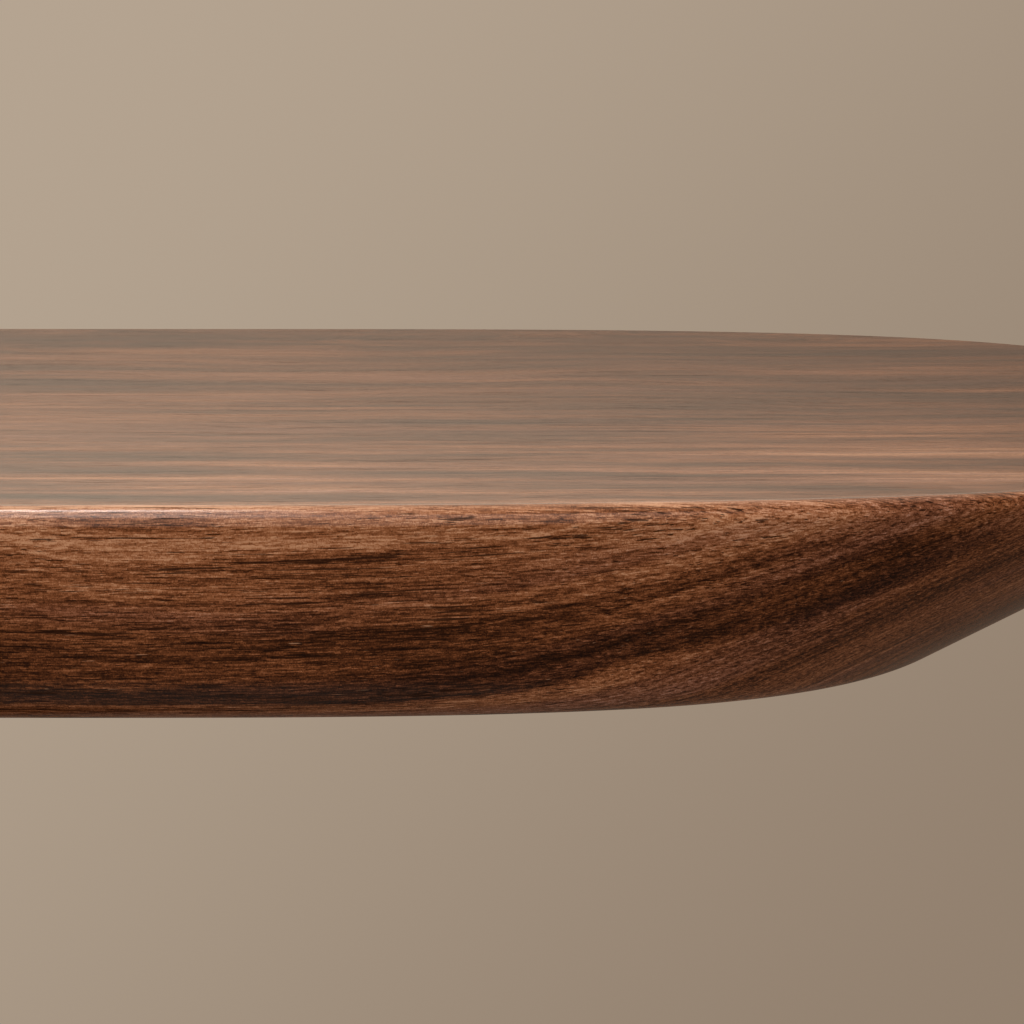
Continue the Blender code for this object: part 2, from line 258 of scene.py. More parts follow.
def pigment(f, point, layer, girth, across, plank):
    """How pale the wood is, from 0 to 1: broad zones, streaks, year rings and fine lines."""
    along, side = point[:2]
    seed = plank.seed
    broad = f.noise(f.vector(layer * 52.0 + seed, along * 6.0, side * 5.0), 3.0, 0.6)
    streak = f.noise(f.vector(layer * 95.0, along * 7.0 + seed, girth * 10.0), 2.0)
    rings = f.noise(f.vector(layer * 460.0, along * 12.0 + seed, girth * 20.0), 2.0, 0.6)
    lines = f.vector(layer * FINE_LINES_PER_METRE, along * 9.0 + seed, girth * 45.0)
    lines = f.noise(lines, 3.0, 0.65)
    shade = MIDDLE_SHADE + plank.tone + broad * 0.34 + streak * 0.46 - across * 0.10
    return shade + rings * 0.30 + lines * (0.60 + across * 0.40)


print("fine lines:", round(1000 / FINE_LINES_PER_METRE, 2), "mm apart")

# %% [markdown]
# Single bands of pigment are what one remembers of a board, so the slab gets a few. A band is a
# range of growth layers. A dark one fades out under the upper edge, and the widest one spreads
# towards the tip as a wedge, where painted light then takes away some of its strength, as the tip
# turns towards the light. The upper edge itself is paler: a thin line on the very edge, partly wear
# and partly a painted highlight where the edge tilts up, and under it on the sides a soft strip of
# painted light from above, strongest at the tip. It could be painted by hand, but depths below the
# upper face follow the edge by themselves.

# %% Bands of pigment, and painted light at the tip and the upper edge
BAND_COVER = 0.009
WEDGE_START = 0.598
# Painted light: the wedge loses strength near the tip, where the tip turns towards the light
WEDGE_PAINTED_LIGHT_ZONE = (0.638, 0.653)
WEDGE_PAINTED_LIGHT_LOSS = 0.5
# A pale line on the very edge: partly wear, partly a painted highlight where the edge tilts up
WORN_AND_HIGHLIT_LINE = ((0.0012, 0.0005), (0.00012, 0.00003))
# Painted light: a paler strip under the edge of the sides, where light from above falls, strongest at
# the tip
PAINTED_LIGHT_STRIP = ((0.0075, 0.0045), (0.0020, 0.0008))
PAINTED_LIGHT_TIP = (0.580, 0.615)


def strip_below(f, up, roof, lower, upper):
    """1 in a strip under the roof. Each soft edge of it is a pair of depths."""
    start = f.between(up, roof - lower[0], roof - lower[1])
    return start - f.between(up, roof - upper[0], roof - upper[1])


def banded(f, point, layer, girth, flat, shade, plank):
    """The shade with the plank's own bands and its pale upper edge. Painted light weakens the wedge
    at the tip and pales a strip under the edge of the sides; the edge line is partly wear and partly
    a painted highlight.
    """
    along = point[0]
    up = point[2]
    patchy = f.vector(along * 23.0, layer * 700.0 + plank.seed, girth * 90.0)
    patchy = 1.0 + 1.8 * f.noise(patchy, 3.0)
    buried = f.between(up, plank.roof, plank.roof - BAND_COVER)
    widening = f.math("MAXIMUM", along - WEDGE_START, 0.0)
    for band in plank.bands:
        inner = layer + widening * band.spread if band.spread else layer
        inside = f.between(inner, band.low - band.soft_low, band.low + band.soft_low)
        inside = inside - f.between(layer, band.high - band.soft_high, band.high + band.soft_high)
        cover = buried if band.strength > 0 else 1.0
        # Painted light: near the tip the wedge is weakened, where the tip turns towards the light
        if band.spread:
            cover = cover * (1.0 - f.between(along, *WEDGE_PAINTED_LIGHT_ZONE) * WEDGE_PAINTED_LIGHT_LOSS)
        shade = shade - inside * patchy * cover * band.strength
    # Pale line on the very edge: partly wear, partly a painted highlight where the edge tilts up
    worn_and_highlit = strip_below(f, up, plank.roof, *WORN_AND_HIGHLIT_LINE)
    # Painted light: a paler strip under the edge of the sides, where light from above falls, more at the
    # tip
    painted_light_strip = strip_below(f, up, plank.roof, *PAINTED_LIGHT_STRIP) * (1.0 - flat)
    return shade + worn_and_highlit * 0.12 + painted_light_strip * (0.045 + f.between(along, *PAINTED_LIGHT_TIP) * 0.080)


print("dark bands fade out over the last", round(1000 * BAND_COVER), "mm below the upper face")

# %% [markdown]
# Close to, walnut is a bundle of fibres. Smooth noise alone looks like smoke there, so single cells
# are added as white noise: every cell has its own shade, in three lengths, and each row of cells
# starts at another place, as bricks do. Pores are the open vessels of the tree: where the smooth
# noise passes a threshold, it leaves dark dashes along the grain and dots across it.

# %% Fibres and cells
CELLS_PER_METRE = 5600.0
LONG_CELLS_PER_METRE = 1100.0
DASHES_PER_METRE = 260.0


def fibres(f, along, layer, girth, seed):
    """What fibres and cells add to the shade, how high the fibres stand, and where dashes are."""
    strand = f.noise(f.vector(along * 26.0 + seed, layer * 2600.0, girth * 1700.0), 2.0, 0.6)
    hair = f.noise(f.vector(along * 110.0 + seed, layer * 4200.0, girth * 2900.0), 2.0)
    deep = layer * CELLS_PER_METRE
    about = girth * CELLS_PER_METRE
    start = f.cells(f.vector(0.0, deep, about)) * 7.0
    speck = f.cells(f.vector(along * CELLS_PER_METRE + start, deep, about)) - 0.5
    fibre = f.cells(f.vector(along * LONG_CELLS_PER_METRE + start, deep, about)) - 0.5
    dash = f.cells(f.vector(along * DASHES_PER_METRE + start, deep, about)) ** 4.0 - 0.20
    added = strand * 0.50 + hair * 0.60 + speck * 0.20 + fibre * 0.24 - dash * 0.24
    return added, strand * 0.9 + hair * 0.6, dash


print("a cell is", round(1000 / CELLS_PER_METRE, 2), "mm wide")

# %% Pores and flecks
SHORT_PORES = (0.13, 0.20)
LONG_PORES = (0.15, 0.19)
PALE_FLECKS = (0.21, 0.29)


def pores(f, along, layer, girth, seed):
    """1 in the open vessels, short or long, which crowd in some layers."""
    crowd = f.noise(f.vector(layer * 330.0, along * 14.0, girth * 60.0 + seed), 3.0)
    vessel = f.noise(f.vector(along * 62.0 - seed, layer * 4200.0, girth * 2600.0), 2.0, 0.6)
    duct = f.noise(f.vector(along * 44.0 - seed, layer * 2300.0, girth * 1500.0), 2.0, 0.55)
    short_pore = f.between(vessel + crowd * 0.45, *SHORT_PORES)
    long_pore = f.between(duct + crowd * 0.35, *LONG_PORES)
    return f.math("MAXIMUM", short_pore, long_pore)


def flecks(f, along, layer, girth, seed):
    """1 in short pale cells that catch the light."""
    cell = f.noise(f.vector(along * 190.0, layer * 4600.0 + seed, girth * 3000.0 + 7.0), 2.0)
    return f.between(cell, *PALE_FLECKS)


print("short pores open where the noise passes", SHORT_PORES[0], "and long ones", LONG_PORES[0])


# %% Wood
def wood(f, point, plank, across=0.0, flat=0.0):
    """The colour of a point in the wood, its height, and how much lacquer stands on it.

    point is how far along, to the side and up it lies, across is how squarely the surface cuts the
    fibres, and flat is 1 on a level upper face.
    """
    along, side = point[:2]
    layer, girth = growth(f, point, plank)
    shade = pigment(f, point, layer, girth, across, plank)
    # The upper face's streaks, with its painted light and painted shade
    if plank.streaks_and_painted_light:
        shade = shade + plank.streaks_and_painted_light(f, along, side) * flat
    # The bands, with painted light on the wedge at the tip and along the upper edge
    if plank.bands:
        shade = banded(f, point, layer, girth, flat, shade, plank)

    # Cut ends and the polished upper face show their fibres less
    calm = 1.0 - across * 0.6 - flat * 0.40
    added, relief, dash = fibres(f, along, layer, girth, plank.seed)
    body = f.node("ShaderNodeValToRGB", {"stops": WALNUT_TONES}, {0: shade + added * calm})

    # Some of the heartwood leans from brown towards plum
    plum = f.noise(f.vector(along * 9.0, layer * 260.0 - plank.seed, girth * 26.0), 2.0)
    body = f.mix(f.between(plum, -0.05, 0.22) * 0.8, body, PLUM_TINT, "MULTIPLY")

    pore = pores(f, along, layer, girth, plank.seed)
    fleck = flecks(f, along, layer, girth, plank.seed)
    colour = f.mix(pore * calm * 0.85, body, PORE_BROWN)
    colour = f.mix(fleck * 0.6, colour, FLECK_TAN)
    height = relief - pore + fleck * 0.4
    film = 1.0 - (pore * 0.7 + dash * 0.3) * calm
    return colour, height, film


print("wood ready")

# %% [markdown]
# The finish is a thin film of satin lacquer over the bare fibres. The fibres themselves scatter
# light, so their own gloss is off and all the shine comes from the coat. The film sinks into pores,
# and upward faces are rubbed to a better polish than the sides, so the coat's weight follows both.


# %% Walnut
def walnut(name, grain, plank):
    """Solid walnut with a satin finish. grain is the axis that its fibres follow, x or z."""
    material, f = new_material(name)
    x, y, z = f.parts(f.node("ShaderNodeTexCoord", output="Object"))
    point = (x, y, z) if grain == "x" else (z, x, y)
    normal = f.parts(f.node("ShaderNodeNewGeometry", output="Normal"))
    facing = normal["xyz".index(grain)]
    across = f.between(facing * facing, 0.01, 0.30)
    polish = 0.5 + f.between(normal[2], 0.30, 0.70) * 0.5
    flat = f.between(normal[2], 0.90, 0.99)
    colour, height, film = wood(f, point, plank, across, flat)
    bump = f.node("ShaderNodeBump", None, {"Strength": 0.4, "Distance": 0.00010, "Height": height})
    shader = f.node("ShaderNodeBsdfPrincipled", None, {
        "Base Color": colour, "Roughness": 0.60, "Normal": bump, "Specular IOR Level": 0.0,
        "Coat Weight": film * polish, "Coat Roughness": 0.22, "Coat IOR": 1.46})
    f.node("ShaderNodeOutputMaterial", None, {"Surface": shader})
    return material


print("walnut ready")

# %% [markdown]
# ## The top
#
# Two blunt curves make the top: the outline of the upper face, and a shorter one for the underside.
# A bevel joins them all the way round, steep along the sides and raking far under at the ends. A
# maker would fair it with a long flat board, so it is a face that could be bent from a sheet: each
# straight line of it joins two places where the outlines face the same way. Joining the outlines
# by equal steps instead leaves a hollow where the side turns into the end.

# %% Sizes of the top
top_low, top_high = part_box("top")
TOP_THICKNESS = top_high.z - top_low.z
HALF_LENGTH = 0.7499
HALF_DEPTH = 0.1799
END_REACH = 0.262
END_SQUARENESS = 3.32
UNDERSIDE_SQUARENESS = 3.80
END_RAKE = 0.082
SIDE_UNDERCUT = 0.005
ARRIS_EASE = 0.0036
LOWER_EDGE_RADIUS = 0.010
FLAT_MARGIN = 0.0008
STRAIGHT = HALF_LENGTH - END_REACH
UPPER_OUTLINE = (END_REACH, HALF_DEPTH, END_SQUARENESS)
LOWER_OUTLINE = (END_REACH - END_RAKE, HALF_DEPTH - SIDE_UNDERCUT, UNDERSIDE_SQUARENESS)
print("top:", [round(v, 4) for v in top_low], [round(v, 4) for v in top_high])


# %% Blunt curves
def blunt_point(reach, half_width, squareness, angle):
    """A quarter of a superellipse: angle 0 is on its long side and a right angle is at its tip."""
    power = 2.0 / squareness
    x = reach * max(math.sin(angle), 0.0) ** power
    y = half_width * max(math.cos(angle), 0.0) ** power
    return Vector((x, y))


def blunt_normal(reach, half_width, squareness, angle):
    """The direction that the quarter superellipse faces at the same angle."""
    power = 2.0 - 2.0 / squareness
    x = max(math.sin(angle), 0.0) ** power / reach
    y = max(math.cos(angle), 0.0) ** power / half_width
    return Vector((x, y)).normalized()


def blunt_angle(reach, half_width, squareness, normal):
    """The angle at which the quarter superellipse faces a given direction."""
    power = squareness / (2.0 * squareness - 2.0)
    return math.atan2((reach * normal.x) ** power, (half_width * normal.y) ** power)


halfway = blunt_point(*UPPER_OUTLINE, math.pi / 4)
print("halfway round an end the outline passes", [round(v, 4) for v in halfway])


# %% The edge of the top
def eased_edge(corner, ease, heading, turn, steps):
    """An arc in the section's plane that leaves its corner's two faces at the ease distance."""
    radius = ease / math.tan(turn / 2)
    start_x = corner[0] - ease * math.cos(heading)
    start_y = corner[1] - ease * math.sin(heading)
    centre_x = start_x - radius * math.sin(heading)
    centre_y = start_y + radius * math.cos(heading)
    spots = []
    for k in range(steps + 1):
        angle = heading + turn * k / steps
        spots.append((centre_x + radius * math.sin(angle), centre_y - radius * math.cos(angle)))
    return spots


def edge_section(run, bevel_steps=12):
    """Points (out, up) from the flat underside, round the edge and onto the flat upper face."""
    slope = math.atan2(TOP_THICKNESS, run)
    lower_ease = LOWER_EDGE_RADIUS * math.tan(slope / 2)
    lower = eased_edge((0.0, -TOP_THICKNESS), lower_ease, 0.0, slope, 12)
    upper = eased_edge((run, 0.0), ARRIS_EASE, slope, math.pi - slope, 16)
    bevel = []
    for k in range(1, bevel_steps):
        share = k / bevel_steps
        bevel.append((lower[-1][0] + (upper[0][0] - lower[-1][0]) * share,
                      lower[-1][1] + (upper[0][1] - lower[-1][1]) * share))
    start = [(lower[0][0] - FLAT_MARGIN, lower[0][1])]
    end = [(upper[-1][0] - FLAT_MARGIN, upper[-1][1])]
    return start + lower + bevel + upper + end


def edge_ring(angle):
    """The edge at one place in a quarter of the outline, from the underside to the upper face."""
    facing = blunt_normal(*UPPER_OUTLINE, angle)
    upper = blunt_point(*UPPER_OUTLINE, angle)
    lower = blunt_point(*LOWER_OUTLINE, blunt_angle(*LOWER_OUTLINE, facing))
    along = Vector((facing.y, -facing.x))
    drift = along * (upper - lower).dot(along)
    ring = []
    for out, up in edge_section((upper - lower).dot(facing)):
        spot = lower + facing * out + drift * (1.0 + up / TOP_THICKNESS)
        ring.append((STRAIGHT + spot.x, -spot.y, top_high.z + up))
    return ring


print("points in a section of the edge:", len(edge_ring(0.0)))

# %% [markdown]
# The mesh is a chain of such sections, once round the top. Only a quarter of them has to be worked
# out: the rest are mirror images. Long strips that run straight across close the flat faces, because
# one face with hundreds of corners shades badly. The same helper that links this mesh to the scene
# serves every later piece.


# %% The top as one closed mesh
def link_piece(name, bm, material, sharp=None):
    """Turns a bmesh into a piece of the scene, shaded smooth across angles under the sharp one."""
    bmesh.ops.recalc_face_normals(bm, faces=bm.faces)
    mesh = bpy.data.meshes.new(name)
    bm.to_mesh(mesh)
    bm.free()
    mesh.shade_smooth()
    if sharp:
        mesh.set_sharp_from_angle(angle=math.radians(sharp))
    mesh.materials.append(material)
    piece = bpy.data.objects.new(name, mesh)
    bpy.context.scene.collection.objects.link(piece)
    return piece


def top_rings(steps=110):
    """Sections once round the top: along the front from its left tip, then back along the rear."""
    right = [edge_ring(math.pi / 2 * k / steps) for k in range(steps + 1)]
    left = [[(-x, y, z) for x, y, z in ring] for ring in reversed(right)]
    front = left + right
    rear = [[(x, -y, z) for x, y, z in ring] for ring in reversed(front[1:-1])]
    return front, rear


def top_piece(material):
    front, rear = top_rings()
    bm = bmesh.new()
    rings = [[bm.verts.new(spot) for spot in ring] for ring in front + rear]
    for ring, following in zip(rings, rings[1:] + rings[:1]):
        for k in range(len(ring) - 1):
            bm.faces.new((ring[k], following[k], following[k + 1], ring[k + 1]))
    for level in (0, -1):
        for k in range(len(front) - 1):
            corners = [rings[k][level], rings[k + 1][level]]
            corners += [rings[-k - 1][level], rings[-k][level]]
            unlike = [spot for n, spot in enumerate(corners) if spot not in corners[:n]]
            bm.faces.new(unlike)
    return link_piece("walnut_top", bm, material)


print("sections along the front:", len(top_rings()[0]))

# %% [markdown]
# The flat upper face is mostly seen at a low angle, which squeezes its figure into long streaks and
# hides fine lines. So it gets streaks of its own: narrow, crisp ones along the front, which fade
# towards the back, and broad soft ones everywhere. It is also painted with light: paler all over,
# less so towards the back, where less light falls, and with a painted shade in a zone near the end.

# %% Streaks and painted light of the upper face
NARROW_FADE = (-0.16, 0.0)
# Where painted light falls off towards the back of the upper face
PAINTED_FALLOFF_TO_BACK = (-0.14, 0.14)
# Where a painted shade darkens the upper face near the end
PAINTED_SHADE_FRONT = (-0.075, -0.045)
PAINTED_SHADE_BACK = (-0.005, 0.035)
PAINTED_SHADE_START = (0.54, 0.64)


def upper_face_streaks_and_painted_light(f, along, side):
    """How much paler the flat upper face is: its streaks, and painted light that pales the front and
    falls off towards the back, with a painted shade near the end. side runs from the front edge to
    the rear one.
    """
    wave = f.noise(f.vector(along * 30.0, side * 30.0, 0.0), 2.0)
    broad = f.noise(f.vector(side * 16.0 + wave * 0.3, along * 3.5, 0.0), 4.0, 0.75)
    narrow = f.noise(f.vector(side * 105.0 + wave * 0.8, along * 8.0, 3.0), 2.0)
    crisp = 1.0 - f.between(side, *NARROW_FADE) * 0.80
    # Painted light: the upper face darkens towards the back, where less light falls
    back = f.between(side, *PAINTED_FALLOFF_TO_BACK)
    # Painted shade: a zone near the end is darker, as light from the left falls off towards the end
    painted_shade = f.between(side, *PAINTED_SHADE_FRONT) - f.between(side, *PAINTED_SHADE_BACK)
    painted_shade = painted_shade * f.between(along, *PAINTED_SHADE_START)
    # Painted light: 0.035 pales the whole upper face
    return 0.035 + narrow * crisp * 1.6 - broad * 0.7 - back * 0.12 - painted_shade * 0.12


print("the dusky zone begins", round(1000 * (HALF_LENGTH - PAINTED_SHADE_START[0])), "mm from the tip")

# %% [markdown]
# The slab's growth layers were found by following single bands of colour along the front edge and
# up the raked end: they stand steeply at that edge, so the heart of the trunk lies low and far back.
# The widest dark band has a sharp edge on the heart side, where one year's growth stopped. Each band
# is given by its two radii where the straight side ends, how soft its two edges are, and how dark it
# is.

# %% Make the top
TRUNK_RADIUS = 0.330
HEART_OF_TOP = (0.150, top_high.z - 0.0986)
TOP_LEAN = 0.0177
layer_shift = TOP_LEAN * STRAIGHT
TOP_BANDS = tuple(
    Band(low + layer_shift, high + layer_shift, *rest)
    for low, high, *rest in (
        (0.33120, 0.33390, 0.0004, 0.0010, 0.21, 0.085),
        (0.33360, 0.33780, 0.0010, 0.0008, 0.05),
        (0.33560, 0.33640, 0.0003, 0.0003, 0.05),
        (0.32140, 0.32400, 0.0010, 0.0010, 0.10),
        (0.33840, 0.34010, 0.0006, 0.0006, 0.045),
        (0.31000, 0.33120, 0.0030, 0.0006, -0.08),
        (0.33715, 0.34600, 0.0008, 0.0030, -0.12),
        (0.34180, 0.34700, 0.0010, 0.0030, -0.08),
    ))
slab = Plank(HEART_OF_TOP, TRUNK_RADIUS, TOP_LEAN, sway=0.0004, bands=TOP_BANDS,
             roof=top_high.z, streaks_and_painted_light=upper_face_streaks_and_painted_light)
top = top_piece(walnut("walnut_slab", "x", slab))
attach(top, "table")
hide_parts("top")
print("top:", len(top.data.polygons), "faces,", len(TOP_BANDS), "bands of pigment")

# %% [markdown]
# ## The legs
#
# Each leg is coopered like half a barrel: nine staves with bevelled joints are glued round a curve,
# then planed fair outside, while the flat inner faces stay as sawn. The grain stands upright. The
# staves come from different planks, so each gets its own walnut, and each is made in its own
# upright frame with X pointing out of the leg, so that its growth layers turn with it round the
# curve.

# %% Sizes of the legs
stave_low, stave_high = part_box("right_leg_stave_5")
STAVE_LENGTH = stave_high.z - stave_low.z
LEG_ORIGIN = 0.250
LEG_REACH = 0.175
LEG_HALF_WIDTH = 0.136
LEG_SQUARENESS = 2.4
STAVE_COUNT = 9
STAVE_THICKNESS = 0.026
FREE_EDGE_RADIUS = 0.009
JOINT_GAP = 0.0001
LOW_CHAMFER = 0.0014
HIGH_CHAMFER = 0.0006
print("staves stand from", round(stave_low.z, 4), "to", round(stave_high.z, 4))


# %% The curve of a leg
def leg_curve(samples=500):
    """The outside of a leg in plan, from one free edge to the other, and the length up to each point."""
    spots = []
    for k in range(-samples, samples + 1):
        angle = math.pi / 2 * (1 - abs(k) / samples)
        spot = blunt_point(LEG_REACH, LEG_HALF_WIDTH, LEG_SQUARENESS, angle)
        spots.append(Vector((spot.x, math.copysign(spot.y, k))))
    lengths = [0.0]
    for here, there in zip(spots, spots[1:]):
        lengths.append(lengths[-1] + (there - here).length)
    return spots, lengths


def on_leg(curve, distance):
    """The point at one distance along the curve, and the direction that faces out of the leg there."""
    spots, lengths = curve
    k = min(max(bisect.bisect_right(lengths, distance) - 1, 0), len(spots) - 2)
    share = (distance - lengths[k]) / (lengths[k + 1] - lengths[k])
    along = (spots[k + 1] - spots[k]).normalized()
    return spots[k].lerp(spots[k + 1], share), Vector((along.y, -along.x))


curve_of_leg = leg_curve()
stave_width = curve_of_leg[1][-1] / STAVE_COUNT
print("width of a stave:", round(stave_width, 4))


# %% One stave in plan
def rounded_corner(before, corner, after, radius, steps=9):
    """A rounded corner: pairs of a point and the direction into the wood."""
    one = (before - corner).normalized()
    two = (after - corner).normalized()
    half = one.angle(two) / 2
    centre = corner + (one + two).normalized() * radius / math.sin(half)
    first = corner + one * radius / math.tan(half) - centre
    last = corner + two * radius / math.tan(half) - centre
    pairs = []
    for k in range(steps + 1):
        spoke = first.slerp(last, k / steps).normalized()
        pairs.append((centre + spoke * radius, -spoke))
    return pairs


def stave_loop(n, steps=16):
    """Pairs of a point and the direction into the wood, once round a stave."""
    first = n == 0
    last = n == STAVE_COUNT - 1
    start = n * stave_width + (0.0 if first else JOINT_GAP / 2)
    end = (n + 1) * stave_width - (0.0 if last else JOINT_GAP / 2)
    start_spot, start_out = on_leg(curve_of_leg, start)
    end_spot, end_out = on_leg(curve_of_leg, end)
    inner_start = start_spot - start_out * STAVE_THICKNESS
    inner_end = end_spot - end_out * STAVE_THICKNESS
    fair_start = start + (FREE_EDGE_RADIUS if first else 0.0)
    fair_end = end - (FREE_EDGE_RADIUS if last else 0.0)
    fair = []
    for k in range(steps + 1):
        spot, out = on_leg(curve_of_leg, fair_start + (fair_end - fair_start) * k / steps)
        fair.append((spot, -out))
    if first:
        nose = rounded_corner(inner_start, start_spot, fair[0][0], FREE_EDGE_RADIUS)
        heel = rounded_corner(inner_end, inner_start, start_spot, FREE_EDGE_RADIUS)
        return nose + fair[1:] + [(inner_end, end_out)] + heel
    if last:
        nose = rounded_corner(fair[-1][0], end_spot, inner_end, FREE_EDGE_RADIUS)
        heel = rounded_corner(end_spot, inner_end, inner_start, FREE_EDGE_RADIUS)
        return fair[:-1] + nose + heel + [(inner_start, start_out)]
    return fair + [(inner_end, end_out), (inner_start, start_out)]


print("points round a stave:", [len(stave_loop(n)) for n in range(STAVE_COUNT)])

# %% [markdown]
# A stave could be a Solidify or Bevel modifier on a strip, but its two ends differ: the foot has a
# wide chamfer so that it doesn't splinter on the floor, and the head a narrow one under the top. So
# its outline is stacked at four levels, drawn in a little at the first and the last.

# %% One stave
SHARP_WOOD = 30.0
STAVE_LEVELS = [
    (0.0, LOW_CHAMFER),
    (LOW_CHAMFER, 0.0),
    (STAVE_LENGTH - HIGH_CHAMFER, 0.0),
    (STAVE_LENGTH, HIGH_CHAMFER),
]


def stave_piece(side, n, material):
    """A stave in its own frame, at its place in the left or the right leg."""
    middle, out = on_leg(curve_of_leg, (n + 0.5) * stave_width)
    centre = middle - out * STAVE_THICKNESS / 2
    facing = math.atan2(out.y, out.x)
    bm = bmesh.new()
    loops = []
    for z, inset in STAVE_LEVELS:
        loop = []
        for spot, into in stave_loop(n):
            flat = spot + into * inset - centre
            flat.rotate(Matrix.Rotation(-facing, 2))
            loop.append(bm.verts.new((flat.x, flat.y, z)))
        loops.append(loop)
    for low, high in zip(loops, loops[1:]):
        for k in range(len(low)):
            bm.faces.new((low[k - 1], low[k], high[k], high[k - 1]))
    bm.faces.new(loops[0])
    bm.faces.new(loops[-1])
    stave = link_piece(f"{side}_stave_{n + 1}", bm, material, SHARP_WOOD)
    turn = 0.0 if side == "right" else math.pi
    place = Vector((LEG_ORIGIN + centre.x, centre.y))
    place.rotate(Matrix.Rotation(turn, 2))
    stave.location = (place.x, place.y, stave_low.z)
    stave.rotation_euler.z = facing + turn
    return stave


print("length of a stave:", round(STAVE_LENGTH, 4))

# %% Make the legs
STAVE_SWAY = 0.0030
STAVE_PLANKS = [
    ((-0.115, 0.024), 0.011, 0.05),
    ((-0.150, -0.060), 0.018, -0.03),
    ((-0.090, -0.016), 0.008, 0.08),
    ((-0.140, 0.090), 0.021, 0.00),
    ((-0.105, 0.008), 0.013, 0.03),
    ((-0.130, -0.085), 0.016, -0.02),
    ((-0.100, 0.040), 0.009, 0.06),
    ((-0.160, 0.030), 0.019, -0.04),
    ((-0.110, -0.028), 0.012, 0.02),
]
for n, (heart, lean, tone) in enumerate(STAVE_PLANKS):
    plank = Plank(heart, math.hypot(*heart), lean, STAVE_SWAY, tone, seed=3.7 * n + 1.3)
    stave_walnut = walnut(f"walnut_plank_{n + 1}", "z", plank)
    for side in ("left", "right"):
        stave = stave_piece(side, n, stave_walnut)
        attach(stave, "table")
        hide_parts(f"{side}_leg_stave_{n + 1}")
print("staves:", 2 * len(STAVE_PLANKS))

# %% [markdown]
# ## Plates
#
# A cap plate and a base plate stiffen each leg. They are plywood, veneered with walnut above and
# below, so the flat faces get the wood's grain and the edges show the plies: sheets of equal
# thickness, laid crosswise in turn, which a sine wave of the height tells apart. Their shape in the
# frame is already exact, so they keep it and only take a new material.

# %% Plywood
PLY_THICKNESS = 0.0016
PLY_ALONG = (0.500, 0.350, 0.205, 1.0)
PLY_ENDS = (0.330, 0.205, 0.110, 1.0)
PLY_SPECKS = (0.170, 0.095, 0.048, 1.0)
VENEER = Plank((0.05, -0.30), 0.30, lean=0.02, sway=0.004, seed=5.0)


def plywood(name):
    material, f = new_material(name)
    x, y, z = f.parts(f.node("ShaderNodeTexCoord", output="Object"))
    colour, height, film = wood(f, (y, x, z), VENEER)
    sheet = f.math("SINE", z * (math.pi / PLY_THICKNESS))
    speck = f.noise(f.vector(x * 420.0, y * 420.0, z * 1500.0), 3.0)
    plies = f.mix(f.between(sheet, -0.12, 0.12), PLY_ENDS, PLY_ALONG)
    plies = f.mix(f.between(speck, 0.02, 0.22) * 0.55, plies, PLY_SPECKS)
    upright = f.parts(f.node("ShaderNodeNewGeometry", output="Normal"))[2]
    shown = f.mix(f.between(upright * upright, 0.20, 0.40), plies, colour)
    relief = {"Strength": 0.4, "Distance": 0.0001, "Height": height + speck}
    shader = f.node("ShaderNodeBsdfPrincipled", None, {
        "Base Color": shown, "Roughness": 0.58 - film * 0.12,
        "Normal": f.node("ShaderNodeBump", None, relief)})
    f.node("ShaderNodeOutputMaterial", None, {"Surface": shader})
    return material


veneered = plywood("walnut_veneered_plywood")
PLATES = [f"{side}_leg_{plate}" for side in ("left", "right") for plate in ("cap", "base")]
for plate in PLATES:
    bpy.data.objects[plate].data.materials[0] = veneered
print("plates:", len(PLATES))

# %% [markdown]
# ## Metal and nylon
#
# Zinc plating, turned brass and moulded nylon differ in colour and shine, but all three are plain
# surfaces with fine mottling, so one function makes them. Two sizes of noise are enough: a cloudy
# one for handling and plating, and a fine one for the grain of the surface.


# %% Plain materials
def mottled(name, colour, dark, metallic, rough, spread, grain, depth):
    """A plain material with fine mottling, in colour and in how sharply it mirrors."""
    material, f = new_material(name)
    x, y, z = f.parts(f.node("ShaderNodeTexCoord", output="Object"))
    cloud = f.noise(f.vector(x * 240.0, y * 240.0, z * 240.0), 3.0, 0.6)
    fine = f.noise(f.vector(x * grain, y * grain, z * grain), 2.0, 0.6)
    shade = f.between(cloud + fine * 0.6, -0.25, 0.25)
    bump = f.node("ShaderNodeBump", None, {"Strength": 0.5, "Distance": depth, "Height": fine})
    shader = f.node("ShaderNodeBsdfPrincipled", None, {
        "Base Color": f.mix(shade, (*dark, 1.0), (*colour, 1.0)), "Metallic": metallic,
        "Roughness": rough + cloud * spread + fine * spread, "Normal": bump})
    f.node("ShaderNodeOutputMaterial", None, {"Surface": shader})
    return material


ZINC_GREYS = ((0.64, 0.65, 0.66), (0.46, 0.47, 0.49))
BRASS_YELLOWS = ((0.78, 0.57, 0.26), (0.56, 0.38, 0.15))
NYLON_BLACKS = ((0.022, 0.022, 0.023), (0.010, 0.010, 0.011))
zinc = mottled("bright_zinc", *ZINC_GREYS, 1.0, 0.30, 0.35, 2600.0, 0.00003)
brass = mottled("turned_brass", *BRASS_YELLOWS, 1.0, 0.30, 0.30, 2600.0, 0.00003)
nylon = mottled("black_nylon", *NYLON_BLACKS, 0.0, 0.52, 0.25, 3800.0, 0.00005)
print("plain materials:", [made.name for made in (zinc, brass, nylon)])

# %% [markdown]
# ## Turned shapes
#
# Bolts, washers, nuts and feet are round about an upright axis. Blender's Screw modifier turns a
# profile into such a body, but here some rings aren't round: a hexagon socket, a notched flange. So
# a ring may carry a shape that stretches its radius by direction, and rings are joined in turn.

# %% Rings joined into a body
RING_POINTS = 48


